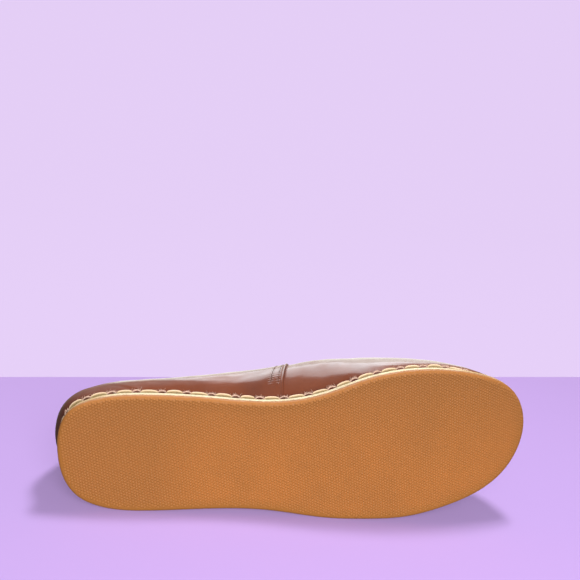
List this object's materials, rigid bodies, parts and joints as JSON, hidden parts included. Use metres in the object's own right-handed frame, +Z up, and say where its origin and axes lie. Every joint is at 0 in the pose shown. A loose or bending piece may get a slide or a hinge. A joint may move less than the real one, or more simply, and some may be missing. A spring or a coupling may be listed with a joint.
{
  "type": "slip-on leather shoe",
  "caption": "Low slip-on leather shoe with a round toe, an open collar, a flat gum sole and a thick hand-stitched welt, lying on its outer side.",
  "frame": {"origin": "On the floor under the middle of the shoe's bounding box, the shoe lying on its outer side", "axes": "+X towards the toe, +Y from the sole towards the collar, +Z up, from the outer side to the inner side"},
  "size_m": [0.2892, 0.0864, 0.0998],
  "materials": {
    "gum_rubber": "matte gum rubber with a fine moulded tread",
    "cut_leather": "natural leather with a light cut edge",
    "welt_leather": "natural leather, cut edge, pinched at the stitch holes",
    "insole_leather": "smooth vegetable-tanned leather board",
    "polished_leather": "smooth red-brown leather with a polished gloss"
  },
  "bodies": {
    "root": {"outsole": "gum_rubber", "midsole": "cut_leather", "welt": "welt_leather", "insole": "insole_leather", "upper": "polished_leather"}
  },
  "joints": []
}
